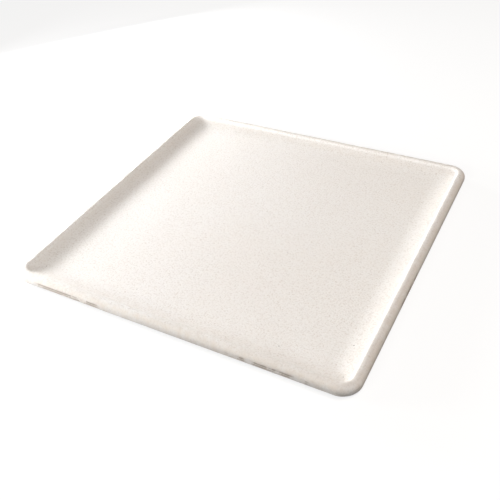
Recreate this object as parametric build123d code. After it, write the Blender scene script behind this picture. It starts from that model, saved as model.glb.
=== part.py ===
from build123d import *
import math
import os

# A square baking stone with a raised rim, pressed from refractory clay and fired in one piece.
# Millimetres, +Z up. The origin is the middle of the plane that the stone stands on.

# Outer form
stone_side = 380.0  # across the flats, at the widest line of the rounded edge
stone_height = 13.5  # from the standing plane to the top of the rim
corner_radius = 20.0  # plan radius of the four corners, at the widest line
seam_band = 0.8  # height of the plain band round the edge, where the two mould halves met

# Cooking recess, whose mouth is concentric with the outer edge
rim_land = 1.0  # flat strip left along the top of the rim
recess_depth = 6.5  # from the top of the rim down to the cooking floor
rim_crest_round = 3.0  # where the rim turns down into the recess
recess_cove_round = 5.0  # where the steep wall turns into the long sweep

# Underside, with four shallow panels between a foot ring and two crossing ribs
foot_width = 24.0  # flat ring that the stone stands on, inside the rounded edge
rib_width = 18.0  # flat of each crossing rib
panel_depth = 1.5  # from the standing plane up to the panel's face
panel_lip_round = 1.2  # where the foot or a rib turns up into a panel
panel_cove_round = 1.5  # where the steep wall turns into the long sweep
panel_corner_radius = 12.0  # plan radius of the panel's corners, at its mouth

# Slopes of a pocket's wall, in degrees from level
wall_lean = 52.0  # at its steepest, between the lip and the cove
sweep_lean = 20.0  # between the cove and the long sweep that runs out on the floor

# How far a cutting solid runs past the face that it cuts
cut_overrun = 1.0

edge_round = (stone_height - seam_band) / 2


def drop(steep, gentle):
    """The height of an arc of radius 1 between two slopes."""
    return math.cos(math.radians(gentle)) - math.cos(math.radians(steep))


def wall_arcs(depth, lip_round, cove_round):
    """A pocket's wall from its floor up to its mouth: x is outwards, z is up."""
    above_sweep = cove_round * drop(wall_lean, sweep_lean) + lip_round * drop(wall_lean, 0)
    sweep_round = (depth - above_sweep) / drop(sweep_lean, 0)
    sweep_arc = JernArc((0, 0), (1, 0), sweep_round, sweep_lean)
    cove_arc = JernArc(sweep_arc @ 1, sweep_arc % 1, cove_round, wall_lean - sweep_lean)
    lip_arc = JernArc(cove_arc @ 1, cove_arc % 1, lip_round, -wall_lean)
    return sweep_arc, cove_arc, lip_arc


def half_section(mouth_side, depth, lip_round, cove_round):
    """Half of a pocket's section on the XZ plane, from its middle to its wall, floor on z = 0."""
    arcs = wall_arcs(depth, lip_round, cove_round)
    mouth = arcs[-1] @ 1
    middle = mouth.X - mouth_side / 2
    top = depth + cut_overrun
    rest = Polyline(mouth, (mouth.X, top), (middle, top), (middle, 0), (0, 0))
    outline = Pos(-middle, 0, 0) * make_face([*(arc.edge() for arc in arcs), *rest.edges()])
    return Rot(90, 0, 0) * outline


def pocket(mouth_side, mouth_radius, depth, lip_round, cove_round):
    """The solid that cuts a square pocket: its floor on z = 0, its mouth at z = depth."""
    half = half_section(mouth_side, depth, lip_round, cove_round)
    trough = extrude(half + mirror(half, Plane.YZ), mouth_side / 2, both=True)
    mitred = trough & Rot(0, 0, 90) * trough
    centre = mouth_side / 2 - mouth_radius
    block = Pos(centre, centre, 0) * Box(mouth_radius, mouth_radius, depth + cut_overrun, align=Align.MIN)
    turned = revolve(split(half, Plane.YZ.offset(centre)), Axis((centre, 0, 0), (0, 0, 1)), 90)
    rounded = Pos(0, centre, 0) * turned
    quarters = [Rot(0, 0, turn) for turn in (0, 90, 180, 270)]
    return mitred - [quarter * block for quarter in quarters] + [quarter * rounded for quarter in quarters]


def blank():
    """The stone before its recess and its panels, with its full round edge."""
    slab = extrude(RectangleRounded(stone_side, stone_side, corner_radius), stone_height)
    levels = slab.edges().group_by(Axis.Z)
    return fillet(levels[0] + levels[-1], edge_round)


def recess():
    """The cooking recess, open upwards, set in by the rounded edge and the rim's land."""
    rim_width = edge_round + rim_land
    mouth_side = stone_side - 2 * rim_width
    cutter = pocket(mouth_side, corner_radius - rim_width, recess_depth, rim_crest_round, recess_cove_round)
    return Pos(0, 0, stone_height - recess_depth) * cutter


def panels():
    """The four panels of the underside, open downwards, one in each quarter."""
    mouth_side = stone_side / 2 - edge_round - foot_width - rib_width / 2
    cutter = pocket(mouth_side, panel_corner_radius, panel_depth, panel_lip_round, panel_cove_round)
    middle = (rib_width + mouth_side) / 2
    upturned = Pos(0, 0, panel_depth) * Rot(180, 0, 0) * cutter
    return [Pos(x, y, 0) * upturned for x in (-middle, middle) for y in (-middle, middle)]


os.makedirs("parts", exist_ok=True)
baking_stone = blank() - recess() - panels()
export_step(baking_stone, "parts/baking_stone.step")
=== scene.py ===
import math

import bmesh
import bpy
from mathutils import Matrix, Vector, noise


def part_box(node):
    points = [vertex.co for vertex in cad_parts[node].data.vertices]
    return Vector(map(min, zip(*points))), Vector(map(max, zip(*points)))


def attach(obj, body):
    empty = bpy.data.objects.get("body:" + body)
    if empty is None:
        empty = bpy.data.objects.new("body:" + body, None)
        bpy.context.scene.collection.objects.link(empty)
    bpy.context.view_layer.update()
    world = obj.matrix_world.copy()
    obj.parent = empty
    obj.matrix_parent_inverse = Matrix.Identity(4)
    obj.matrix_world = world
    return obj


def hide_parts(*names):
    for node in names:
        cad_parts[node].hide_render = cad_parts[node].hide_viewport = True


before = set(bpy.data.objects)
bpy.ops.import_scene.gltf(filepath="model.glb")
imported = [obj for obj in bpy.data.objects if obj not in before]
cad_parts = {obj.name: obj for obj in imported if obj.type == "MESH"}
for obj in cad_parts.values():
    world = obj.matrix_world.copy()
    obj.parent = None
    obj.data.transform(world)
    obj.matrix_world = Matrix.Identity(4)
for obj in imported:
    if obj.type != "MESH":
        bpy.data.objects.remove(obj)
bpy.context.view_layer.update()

# A square baking stone of fired clay, on a pale table in soft studio light.
# Metres, +Z up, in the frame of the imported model.

mm = 0.001

# Outer form, with its overall sizes from the frame
stone_low, stone_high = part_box("baking_stone")
stone_side = stone_high.x - stone_low.x
stone_height = stone_high.z - stone_low.z
corner_radius = 20 * mm
seam_band = 0.8 * mm
edge_round = (stone_height - seam_band) / 2

# Cooking recess
rim_land = 1 * mm
recess_depth = 6.5 * mm
rim_crest_round = 3 * mm
recess_cove_round = 5 * mm

# Underside
foot_width = 24 * mm
rib_width = 18 * mm
panel_depth = 1.5 * mm
panel_lip_round = 1.2 * mm
panel_cove_round = 1.5 * mm
panel_corner_radius = 12 * mm

# Slopes of a pocket's wall, from level
wall_lean = math.radians(52)
sweep_lean = math.radians(20)

# How finely the mesh follows the form: steps along half a side and round a corner, and rows down a wall
body_steps = {"side_steps": 180, "corner_steps": 20}
panel_steps = {"side_steps": 24, "corner_steps": 8}
recess_rows = {"lip_rows": 5, "cove_rows": 6, "sweep_rows": 2}
panel_rows = {"lip_rows": 3, "cove_rows": 3, "sweep_rows": 4}

# The corner radius at which the mesh of a pocket's wall turns into a square grid
least_radius = 5 * mm


class Wall:
    """A pocket's wall from its mouth to its floor: a lip, a cove and a long sweep that runs out on the floor."""

    def __init__(self, depth, lip_round, cove_round):
        self.depth, self.lip_round, self.cove_round = depth, lip_round, cove_round
        self.lip_drop = lip_round * (1 - math.cos(wall_lean))
        cove_drop = cove_round * (math.cos(sweep_lean) - math.cos(wall_lean))
        self.sweep_round = (depth - self.lip_drop - cove_drop) / (1 - math.cos(sweep_lean))
        self.lip_run = lip_round * math.sin(wall_lean)
        self.cove_run = self.lip_run + cove_round * (math.sin(wall_lean) - math.sin(sweep_lean))
        self.run = self.cove_run + self.sweep_round * math.sin(sweep_lean)

    def drop(self, inset):
        """How far the surface lies below the mouth at that distance in from it."""
        if inset <= self.lip_run:
            return self.lip_round - math.sqrt(self.lip_round ** 2 - max(inset, 0) ** 2)
        if inset >= self.run:
            return self.depth
        if inset >= self.cove_run:
            return self.depth - self.sweep_round + math.sqrt(self.sweep_round ** 2 - (self.run - inset) ** 2)
        slope = math.asin(math.sin(wall_lean) - (inset - self.lip_run) / self.cove_round)
        return self.lip_drop + self.cove_round * (math.cos(slope) - math.cos(wall_lean))

    def rows(self, last_inset, lip_rows, cove_rows, sweep_rows):
        """The insets of the rings of vertices that follow the wall down, as far as last_inset."""
        insets = []
        for start, end, count in (
            (0, self.lip_run, lip_rows),
            (self.lip_run, self.cove_run, cove_rows),
            (self.cove_run, last_inset, sweep_rows),
        ):
            insets += [start + (end - start) * k / count for k in range(1, count + 1)]
        return insets


class Outline:
    """A rounded square whose insets are concentric, down to the least corner radius."""

    def __init__(self, side, radius, side_steps, corner_steps, centre=(0, 0)):
        self.half, self.radius = side / 2, radius
        self.side_steps, self.corner_steps = side_steps, corner_steps
        self.centre = Vector((*centre, 0))

    def ring(self, inset, z):
        """Points round the inset outline, counter-clockwise from the middle of the side at -Y."""
        half = self.half - inset
        radius = max(self.radius - inset, least_radius)
        reach = half - radius
        points = []
        for k in range(self.side_steps):
            points.append((reach * k / self.side_steps, -half))
        for k in range(self.corner_steps):
            turn = math.pi / 2 * k / self.corner_steps
            points.append((reach + radius * math.sin(turn), -reach - radius * math.cos(turn)))
        for k in range(self.side_steps):
            points.append((half, -reach + reach * k / self.side_steps))
        quarter = [Vector((x, y, z)) for x, y in points]
        turns = [Matrix.Rotation(math.pi / 2 * k, 3, "Z") for k in range(4)]
        return [self.centre + turn @ point for turn in turns for point in quarter]

    def inset_at(self, x, y):
        """The inset of the outline that runs through a point inside the outline."""
        across = self.half - abs(x - self.centre.x)
        along = self.half - abs(y - self.centre.y)
        if max(across, along) < self.radius:
            rounded = self.radius - math.hypot(self.radius - across, self.radius - along)
            if rounded <= self.radius - least_radius:
                return rounded
        if abs(across - along) >= least_radius:
            return min(across, along)
        chord = math.sqrt(2 * least_radius ** 2 - (across - along) ** 2)
        return (across + along + chord) / 2 - least_radius


def bridge(mesh, outer, inner):
    """Faces between two rings of vertices."""
    count = len(outer)
    for k in range(count):
        after = (k + 1) % count
        mesh.faces.new((outer[k], outer[after], inner[after], inner[k]))


def rings(mesh, outline, first, rows):
    """Rings of vertices at the given (inset, z) rows, each joined to the one before."""
    last = first
    for inset, z in rows:
        ring = [mesh.verts.new(point) for point in outline.ring(inset, z)]
        if last:
            bridge(mesh, last, ring)
        last = ring
    return last


def fill_square(mesh, ring, height):
    """A grid of vertices inside a ring, at the height that a function of x and y gives."""
    count = len(ring) // 4
    start = len(ring) - count // 2

    def on_side(side, k):
        return ring[(start + side * count + k) % len(ring)]

    grid = {}
    for i in range(count + 1):
        for j in range(count + 1):
            if j == 0:
                grid[i, j] = on_side(0, i)
            elif i == count:
                grid[i, j] = on_side(1, j)
            elif j == count:
                grid[i, j] = on_side(2, count - i)
            elif i == 0:
                grid[i, j] = on_side(3, count - j)
            else:
                x, y = on_side(0, i).co.x, on_side(1, j).co.y
                grid[i, j] = mesh.verts.new((x, y, height(x, y)))
    for i in range(count):
        for j in range(count):
            mesh.faces.new((grid[i, j], grid[i + 1, j], grid[i + 1, j + 1], grid[i, j + 1]))


def pocket(mesh, outline, mouth, level, down, wall, row_counts):
    """A pocket's wall and floor inside its mouth; down is -1 for a recess in the top and 1 for one underneath."""
    rounded_as_far_as = min(wall.run, outline.radius - least_radius)
    insets = wall.rows(rounded_as_far_as, **row_counts)
    last = rings(mesh, outline, mouth, [(inset, level + down * wall.drop(inset)) for inset in insets])
    fill_square(mesh, last, lambda x, y: level + down * wall.drop(outline.inset_at(x, y)))


def edge_rows():
    """The full round edge, from the standing plane up to the rim's land and its mouth, as (inset, z)."""
    coarse, fine, near_seam = 8, 3, 18  # degrees round the edge
    seam_rows = 3
    below = [*range(0, 90 - near_seam, coarse), *range(90 - near_seam, 90, fine), 90]
    above = [*range(0, near_seam, fine), *range(near_seam, 90, coarse), 90]
    rows = []
    for turn in map(math.radians, below):
        rows.append((edge_round * (1 - math.sin(turn)), edge_round * (1 - math.cos(turn))))
    rows += [(0, edge_round + seam_band * k / seam_rows) for k in range(1, seam_rows)]
    for turn in map(math.radians, above):
        rows.append((edge_round * (1 - math.cos(turn)), stone_height - edge_round * (1 - math.sin(turn))))
    rows += [(edge_round + rim_land / 2, stone_height), (edge_round + rim_land, stone_height)]
    return rows


def ring_edges(mesh, ring):
    return [mesh.edges.get((ring[k - 1], ring[k])) for k in range(len(ring))]


def pressed_form():
    """The stone's whole surface before its wear."""
    mesh = bmesh.new()
    body = Outline(stone_side, corner_radius, **body_steps)
    rows = edge_rows()
    foot_ring = rings(mesh, body, None, rows[:1])
    mouth = rings(mesh, body, foot_ring, rows[1:])
    rim_width = edge_round + rim_land
    recess = Outline(stone_side - 2 * rim_width, corner_radius - rim_width, **body_steps)
    recess_wall = Wall(recess_depth, rim_crest_round, recess_cove_round)
    pocket(mesh, recess, mouth, stone_height, -1, recess_wall, recess_rows)

    panel_side = stone_side / 2 - edge_round - foot_width - rib_width / 2
    panel_middle = (rib_width + panel_side) / 2
    panel_wall = Wall(panel_depth, panel_lip_round, panel_cove_round)
    borders = ring_edges(mesh, foot_ring)
    for x in (-panel_middle, panel_middle):
        for y in (-panel_middle, panel_middle):
            panel = Outline(panel_side, panel_corner_radius, **panel_steps, centre=(x, y))
            lip = rings(mesh, panel, None, [(0, 0)])
            pocket(mesh, panel, lip, 0, 1, panel_wall, panel_rows)
            borders += ring_edges(mesh, lip)
    bmesh.ops.triangle_fill(mesh, use_beauty=True, edges=borders, normal=(0, 0, -1))
    bmesh.ops.recalc_face_normals(mesh, faces=mesh.faces)
    return mesh


# The stretches of each side, along it, where the moulding flash was scraped off the seam
scraped_stretches = {
    "front": [(-157 * mm, -78 * mm), (68 * mm, 146 * mm)],
    "right": [(-66 * mm, -14 * mm)],
    "back": [(24 * mm, 96 * mm), (-152 * mm, -112 * mm)],
    "left": [(4 * mm, 62 * mm)],
}
scrape_fade = 8 * mm
faint_scrape = 0.12  # how roughly the rest of the seam was scraped
seam_height = stone_height / 2

# The grooves that the scraper left along the seam: height above mid-height, depth and half width
seam_grooves = [(1.4 * mm, 0.40 * mm, 0.6 * mm), (-0.9 * mm, 0.32 * mm, 0.6 * mm)]
groove_wander, groove_wander_length = 0.3 * mm, 16 * mm
groove_break_length = 8 * mm

# Nicks along the edges: the middle, the radius and the depth of each
nicks = [
    (Vector((-62 * mm, -190 * mm, 6.2 * mm)), 3.0 * mm, 0.35 * mm),
    (Vector((31 * mm, -183 * mm, 13.4 * mm)), 2.6 * mm, 0.2 * mm),
    (Vector((190 * mm, 74 * mm, 6.9 * mm)), 3.4 * mm, 0.4 * mm),
    (Vector((183 * mm, -118 * mm, 13.3 * mm)), 2.8 * mm, 0.22 * mm),
    (Vector((-78 * mm, 190 * mm, 7.4 * mm)), 3.6 * mm, 0.4 * mm),
    (Vector((-190 * mm, -96 * mm, 6.0 * mm)), 3.0 * mm, 0.35 * mm),
    (Vector((-183 * mm, 52 * mm, 13.4 * mm)), 2.6 * mm, 0.2 * mm),
]
nick_reach = 1.5  # radii
nick_ragged, nick_ragged_size = 0.25, 1.6 * mm

# Waves in the pressed surface: their size, and the most that they take off it
broad_waves = (55 * mm, 0.14 * mm)
small_waves = (13 * mm, 0.06 * mm)
edge_waves = (9 * mm, 0.10 * mm)
edge_waves_reach = 4 * mm  # how far in past the rim's crest they go

# What lies lower than this stands on the table and isn't worn
standing_band = 0.1 * mm


def scraped(point):
    """How roughly the seam was scraped near a point of the edge, from 0 to 1."""
    if abs(point.x) > abs(point.y):
        side, along = ("right" if point.x > 0 else "left"), point.y
    else:
        side, along = ("back" if point.y > 0 else "front"), point.x
    most = 0
    for start, end in scraped_stretches[side]:
        most = max(most, min(1, (along - start) / scrape_fade + 0.5, (end - along) / scrape_fade + 0.5))
    return most


def waves(place, size, most, shift=(0, 0, 0)):
    """A depth between 0 and most, in soft waves of about that size."""
    return most / 2 * (1 + noise.noise(place / size + Vector(shift)))


def groove_depth(point):
    """How deep the scraper's grooves are at a point of the outer edge. They go on faintly between the stretches."""
    rough = faint_scrape + (1 - faint_scrape) * scraped(point)
    wander = groove_wander * noise.noise(Vector((point.x, point.y, 0)) / groove_wander_length)
    depth = 0
    for rise, deepest, spread in seam_grooves:
        away = (point.z - seam_height - rise - wander) / spread
        broken = 0.65 + 0.35 * noise.noise(point / groove_break_length + Vector((rise / mm, 0, 0)))
        depth += deepest * rough * broken * math.exp(-away ** 2)
    return depth


def nick_depth(point):
    depth = 0
    for middle, radius, deepest in nicks:
        away = (point - middle).length / radius
        if away < nick_reach:
            ragged = away + nick_ragged * noise.noise(point / nick_ragged_size)
            depth += deepest * max(0, 1 - ragged ** 2)
    return depth


def wear_depth(point):
    """How far a point of the pressed form lies inside its ideal place."""
    if point.z < standing_band:
        return 0
    depth = waves(point, *broad_waves) + waves(point, *small_waves, (7, 3, 1))
    past_crest = max(abs(point.x), abs(point.y)) - (stone_side / 2 - edge_round)
    if past_crest > -edge_waves_reach:
        depth += waves(Vector((point.x, point.y, 2 * point.z)), *edge_waves)
    if past_crest > 0:
        depth += groove_depth(point)
    return depth + nick_depth(point)


def worn(mesh):
    """Moves each vertex inwards, so that the stone stays inside its ideal form."""
    mesh.normal_update()
    moves = [(vertex, wear_depth(vertex.co) * vertex.normal) for vertex in mesh.verts]
    for vertex, move in moves:
        vertex.co -= move


def as_piece(name, mesh):
    data = bpy.data.meshes.new(name)
    mesh.to_mesh(data)
    mesh.free()
    data.shade_smooth()
    piece = bpy.data.objects.new(name, data)
    bpy.context.scene.collection.objects.link(piece)
    return piece


class Socket:
    """A node's output, on which Python's arithmetic adds Math nodes."""

    def __init__(self, finish, socket):
        self.finish, self.socket = finish, socket

    def math(self, operation, *values):
        return self.finish.node("ShaderNodeMath", {"operation": operation}, dict(enumerate(values)))

    def __add__(self, other):
        return self.math("ADD", self, other)

    def __radd__(self, other):
        return self.math("ADD", other, self)

    def __sub__(self, other):
        return self.math("SUBTRACT", self, other)

    def __rsub__(self, other):
        return self.math("SUBTRACT", other, self)

    def __mul__(self, other):
        return self.math("MULTIPLY", self, other)

    def __rmul__(self, other):
        return self.math("MULTIPLY", other, self)

    def __pow__(self, other):
        return self.math("POWER", self, other)

    def __neg__(self):
        return self.math("MULTIPLY", self, -1)

    def __abs__(self):
        return self.math("ABSOLUTE", self)

    def larger(self, other):
        return self.math("MAXIMUM", self, other)

    def rise(self, start, end):
        """0 below start, 1 above end, and smooth in between."""
        values = {"Value": self, "From Min": start, "From Max": end}
        return self.finish.node("ShaderNodeMapRange", {"interpolation_type": "SMOOTHSTEP"}, values)

    def fall(self, start, end):
        return 1 - self.rise(start, end)


class Finish:
    """The shading of a material or of the world, under construction."""

    def __init__(self, owner):
        owner.use_nodes = True
        self.owner, self.tree = owner, owner.node_tree
        self.tree.nodes.clear()

    def node(self, kind, settings=None, values=None, output=0):
        """Adds a node: its settings first, then the values or links of its sockets."""
        made = self.tree.nodes.new(kind)
        for name, value in (settings or {}).items():
            setattr(made, name, value)
        for name, value in (values or {}).items():
            if isinstance(value, Socket):
                self.tree.links.new(value.socket, made.inputs[name])
            else:
                made.inputs[name].default_value = value
        return Socket(self, made.outputs[output]) if made.outputs else None

    def place(self):
        return self.node("ShaderNodeTexCoord", output="Object")

    def grain(self, size, detail, roughness, shift=(0, 0, 0)):
        """Cloudy noise round 0, with features of that size."""
        moved = self.node("ShaderNodeVectorMath", {"operation": "ADD"}, {0: self.place(), 1: shift})
        values = {"Vector": moved, "Scale": 1 / size, "Detail": detail, "Roughness": roughness}
        return self.node("ShaderNodeTexNoise", {"normalize": False}, values)

    def specks(self, spacing, output="Distance"):
        """Scattered specks of about that spacing: the distance to the nearest, in spacings, or its own colour."""
        values = {"Vector": self.place(), "Scale": 1 / spacing, "Randomness": 1}
        return self.node("ShaderNodeTexVoronoi", {}, values, output)

    def blend(self, share, colour, other):
        """The colour, with that share of the other colour."""
        return self.node("ShaderNodeMix", {"data_type": "RGBA"}, {0: share, 6: colour, 7: other}, 2)

    def seen(self):
        """1 for the rays that show a thing: to the camera, in a gloss or through glass. 0 for those that light it."""
        kinds = ("Camera", "Glossy", "Transmission")
        camera, glossy, transmission = (self.node("ShaderNodeLightPath", output=f"Is {kind} Ray") for kind in kinds)
        return camera.larger(glossy).larger(transmission)

    def close(self, end, shader):
        self.node(end, {}, {"Surface": shader})
        return self.owner


# Colours of the fired clay, and of the warm shade painted on it, as linear red, green and blue
ivory = (0.87, 0.855, 0.836, 1)
kiln_flush = (0.84, 0.785, 0.725, 1)
dull_grain = (0.68, 0.64, 0.595, 1)
pale_grog = (0.91, 0.89, 0.865, 1)
brown_grog = (0.50, 0.40, 0.31, 1)
iron_dark = (0.10, 0.075, 0.06, 1)
# The darker tone of the rim's top
darker_rim_top = (0.71, 0.655, 0.60, 1)
# Painted shade: a darker, warmer tone laid on the outer edge and on the recess wall
painted_warm_shade = (0.76, 0.68, 0.60, 1)
seam_dirt = (0.34, 0.27, 0.215, 1)

# Sizes of what shows in the clay
flush_size = 150 * mm
mottle_size = 9 * mm
fine_grain_size = 1.9 * mm
tooth_size = 0.9 * mm
pore_spacing = 2.4 * mm
grog_spacing = 3.1 * mm
seam_dash_size = 13 * mm

# Where each mark on the clay begins and where it is full, or begins to fade and is gone
rim_top_darkening = (stone_height - 1.5 * mm, stone_height - 0.2 * mm)  # heights
# Painted warm shade: where it lies on the outer edge and on the recess wall
painted_edge_shade_fades = (0.2 * edge_round, edge_round)  # insets from the outer edge, as are the next two
painted_wall_shade = (9 * mm, 14 * mm)
painted_wall_shade_fades = (15 * mm, 26 * mm)
seam_stain_fades = (1.6 * mm, 3.2 * mm)  # up or down from the stain's middle
seam_stain_rise = 0.6 * mm  # the stain's middle, above the seam

# Depths of the clay's relief
tooth_depth = 0.10 * mm
pore_depth = 0.16 * mm
iron_spot_depth = 0.30 * mm
mottle_depth = 0.05 * mm

# Iron spots on the cooking floor and its sweep: place and radius
iron_spots = [
    ((-56.3 * mm, -151.6 * mm), 0.55 * mm),
    ((106.6 * mm, -161.1 * mm), 0.60 * mm),
    ((167.2 * mm, -132.5 * mm), 0.60 * mm),
    ((172.4 * mm, -172.0 * mm), 0.50 * mm),
    ((-165.9 * mm, -163.0 * mm), 0.50 * mm),
    ((170.9 * mm, 152.1 * mm), 0.60 * mm),
    ((-21.0 * mm, 64.0 * mm), 0.50 * mm),
    ((58.0 * mm, -37.0 * mm), 0.45 * mm),
]


def in_iron_spots(x, y, z, fine):
    """1 inside the iron spots of the top, with ragged edges."""
    spots = 0
    for (spot_x, spot_y), radius in iron_spots:
        away = ((x - spot_x) ** 2 + (y - spot_y) ** 2) ** 0.5 + 0.12 * mm * fine
        spots = away.fall(0.45 * radius, 1.2 * radius) + spots
    return spots * z.rise(seam_height, seam_height + 0.1 * mm)


def in_scraped_stretches(x, y):
    """1 on the outer edge where its seam was scraped."""
    fade = scrape_fade / 2
    stretches = 0
    for side, along, across, sign in (
        ("front", x, y, -1), ("back", x, y, 1), ("left", y, x, -1), ("right", y, x, 1),
    ):
        at_side = (across * sign).rise(stone_side / 2 - edge_round, stone_side / 2 - edge_round / 2)
        for start, end in scraped_stretches[side]:
            stretch = along.rise(start - fade, start + fade) * along.fall(end - fade, end + fade)
            stretches = at_side * stretch + stretches
    return stretches


def grained_colour(clay, cloud, mottle, fine):
    """The clay's own colour: a warm flush, a fine grain, and pale and brown grog."""
    colour = clay.blend(0.18 + 0.22 * cloud + 0.10 * mottle, ivory, kiln_flush)
    colour = clay.blend(fine.rise(0.05, 0.6) * 0.35, colour, pale_grog)
    colour = clay.blend((-fine).rise(0.0, 0.7) * 0.6, colour, dull_grain)
    grog = clay.specks(grog_spacing).fall(0.16, 0.30)
    kind = clay.node("ShaderNodeSeparateColor", {}, {"Color": clay.specks(grog_spacing, "Color")})
    colour = clay.blend(grog * kind.rise(0.72, 0.76) * 0.28, colour, brown_grog)
    return clay.blend(grog * kind.fall(0.30, 0.34) * 0.50, colour, pale_grog)


def rim_darkening_and_painted_shade_colour(clay, colour, x, y, z, cloud, mottle):
    """That colour, darker on the rim's top, and with warm shade painted on the outer edge and, faintly, on the recess
    wall.
    """
    # The rim's top is darker
    colour = clay.blend(z.rise(*rim_top_darkening) * (0.20 + 0.25 * mottle + 0.25 * cloud), colour, darker_rim_top)
    inset = stone_side / 2 - abs(x).larger(abs(y))
    outer_edge = inset.fall(*painted_edge_shade_fades)
    recess_wall = inset.rise(*painted_wall_shade) * inset.fall(*painted_wall_shade_fades)
    # Warm shade painted onto the outer edge, and faintly onto the recess wall
    return clay.blend((outer_edge * 0.55 + recess_wall * 0.12) * (1 + 0.6 * mottle), colour, painted_warm_shade)


def seam_dirtied(clay, colour, x, y, z):
    """That colour, with a stain along the scraped stretches of the seam and dark dashes in their grooves."""
    scraped_edge = in_scraped_stretches(x, y)
    dashes = clay.grain(seam_dash_size, 4, 0.6, (0.5, 0.2, 0.4))
    lines = 0
    for rise, _, spread in seam_grooves:
        lines = abs(z - (seam_height + rise) + 0.2 * mm * dashes).fall(0.6 * spread, 1.4 * spread) + lines
    stain = abs(z - seam_height - seam_stain_rise).fall(*seam_stain_fades) * dashes.rise(-0.4, 0.3)
    colour = clay.blend(scraped_edge * stain * 0.30, colour, seam_dirt)
    return clay.blend(lines * scraped_edge * dashes.rise(-0.45, 0.1) * 0.8, colour, seam_dirt)


def fired_clay():
    """Pale unglazed clay with its grain, grog, pores and iron spots, the marks of its scraped seam, a darker rim top,
    and warm shade painted on its outer edge and recess wall.
    """
    clay = Finish(bpy.data.materials.new("fired clay"))
    x, y, z = (clay.node("ShaderNodeSeparateXYZ", {}, {"Vector": clay.place()}, axis) for axis in "XYZ")
    cloud = clay.grain(flush_size, 2, 0.5)
    mottle = clay.grain(mottle_size, 3, 0.6, (0.3, 0.1, 0))
    fine = clay.grain(fine_grain_size, 3, 0.7, (0.1, 0.7, 0.2))
    tooth = clay.grain(tooth_size, 3, 0.65, (0.9, 0.4, 0.6))
    pores = clay.specks(pore_spacing).fall(0.05, 0.16)
    spots = in_iron_spots(x, y, z, fine)

    colour = grained_colour(clay, cloud, mottle, fine)
    colour = rim_darkening_and_painted_shade_colour(clay, colour, x, y, z, cloud, mottle)
    colour = clay.blend(spots * 0.8, colour, iron_dark)
    colour = seam_dirtied(clay, colour, x, y, z)
    relief = tooth_depth * tooth - pore_depth * pores - iron_spot_depth * spots + mottle_depth * mottle
    values = {
        "Base Color": colour,
        "Roughness": 0.86 + 0.05 * mottle + 0.05 * fine,
        "Normal": clay.node("ShaderNodeBump", {}, {"Strength": 1, "Distance": 1, "Height": relief}),
        "Specular IOR Level": 0.25,
    }
    return clay.close("ShaderNodeOutputMaterial", clay.node("ShaderNodeBsdfPrincipled", {}, values))


# The table: half its width in metres, its grey, and the light it seems to give back where it is seen
table_reach = 6
table_grey = 0.26
table_glow = 0.79


def pale_table():
    """A matt table that looks white where the light reaches it, and holds the stone's soft shadow."""
    table = Finish(bpy.data.materials.new("pale table"))
    values = {"Base Color": (table_grey, table_grey, table_grey, 1), "Roughness": 0.9, "Specular IOR Level": 0}
    matt = table.node("ShaderNodeBsdfPrincipled", {}, values)
    glow = table.node("ShaderNodeEmission", {}, {"Color": (1, 1, 1, 1), "Strength": table_glow})
    both = table.node("ShaderNodeAddShader", {}, {0: matt, 1: glow})
    shown = table.node("ShaderNodeMixShader", {}, {0: table.seen(), 1: matt, 2: both})
    return table.close("ShaderNodeOutputMaterial", shown)


def table_top():
    mesh = bmesh.new()
    bmesh.ops.create_grid(mesh, x_segments=8, y_segments=8, size=table_reach)
    table = as_piece("table_top", mesh)
    table.data.materials.append(pale_table())


def room():
    """Dark all round for the light, and white where it is seen."""
    world = Finish(bpy.data.worlds.new("room"))
    dark = world.node("ShaderNodeBackground", {}, {"Color": (0, 0, 0, 1)})
    white = world.node("ShaderNodeBackground", {}, {"Color": (1, 1, 1, 1)})
    shown = world.node("ShaderNodeMixShader", {}, {0: world.seen(), 1: dark, 2: white})
    bpy.context.scene.world = world.close("ShaderNodeOutputWorld", shown)


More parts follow.
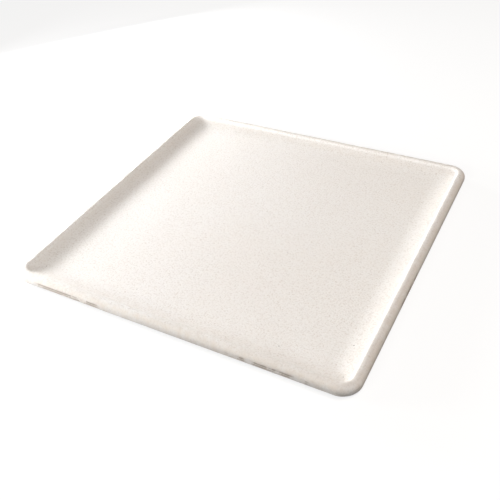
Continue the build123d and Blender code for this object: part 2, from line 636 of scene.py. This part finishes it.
def softbox(name, bearing, elevation, distance, width, height, watts, colour):
    """A lamp panel aimed at the stone. Bearing 0 is at the stone's left, 90 in front of it and -90 behind it."""
    bearing, elevation = math.radians(bearing), math.radians(elevation)
    level = math.cos(elevation)
    towards = Vector((-level * math.cos(bearing), -level * math.sin(bearing), math.sin(elevation)))
    data = bpy.data.lights.new(name, "AREA")
    data.shape = "RECTANGLE"
    data.size, data.size_y = width, height
    data.energy = watts
    data.color = colour
    lamp = bpy.data.objects.new(name, data)
    lamp.location = distance * towards
    lamp.rotation_euler = (-towards).to_track_quat("-Z", "Y").to_euler()
    bpy.context.scene.collection.objects.link(lamp)


def camera(bearing, elevation, roll, distance, target, focal_length, shift):
    """The view from above the front: bearing 0 looks along +Y, and a positive roll turns the view clockwise."""
    data = bpy.data.cameras.new("camera")
    data.sensor_width = 36
    data.lens = focal_length
    data.shift_x, data.shift_y = shift
    data.clip_start = 0.01
    eye = bpy.data.objects.new("camera", data)
    turn = Matrix.Rotation(math.radians(bearing), 4, "Z") @ Matrix.Rotation(math.radians(90 - elevation), 4, "X")
    turn = turn @ Matrix.Rotation(math.radians(-roll), 4, "Z")
    back = (turn @ Vector((0, 0, 1, 0))).xyz
    eye.matrix_world = Matrix.Translation(Vector(target) + distance * back) @ turn
    bpy.context.scene.collection.objects.link(eye)
    bpy.context.scene.camera = eye


stone_mesh = pressed_form()
worn(stone_mesh)
stone = as_piece("stone", stone_mesh)
stone.data.materials.append(fired_clay())
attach(stone, "root")
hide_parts("baking_stone")

table_top()
room()

# The lamps: low windows at the left, which shade the left wall, a weak one in front, and a large one overhead
daylight = (0.965, 0.985, 1.0)
warm_bounce = (1.0, 0.925, 0.86)
near = {"elevation": 9, "distance": 0.66, "width": 0.2, "height": 0.06, "colour": daylight}
far = {"elevation": 8, "distance": 2.0, "width": 0.5, "height": 0.2, "colour": daylight}
softbox("window_back", bearing=-40, watts=3.0, **near)
softbox("window_middle", bearing=0, watts=4.2, **near)
softbox("window_front", bearing=40, watts=2.5, **near)
softbox("far_window_back", bearing=-30, watts=3.2, **far)
softbox("far_window_front", bearing=20, watts=4.6, **far)
softbox("front", bearing=85, elevation=26, distance=1.4, width=0.6, height=0.3, watts=5.4, colour=daylight)
softbox("overhead", bearing=180, elevation=66, distance=1.8, width=1.0, height=1.0, watts=22.0, colour=warm_bounce)

camera(
    bearing=31.89, elevation=39.55, roll=4.91, distance=728.9 * mm, target=(-2.55 * mm, -64.6 * mm, 0),
    focal_length=49.07, shift=(0.0496, 0.0162),
)

bpy.context.scene.view_settings.view_transform = "Standard"
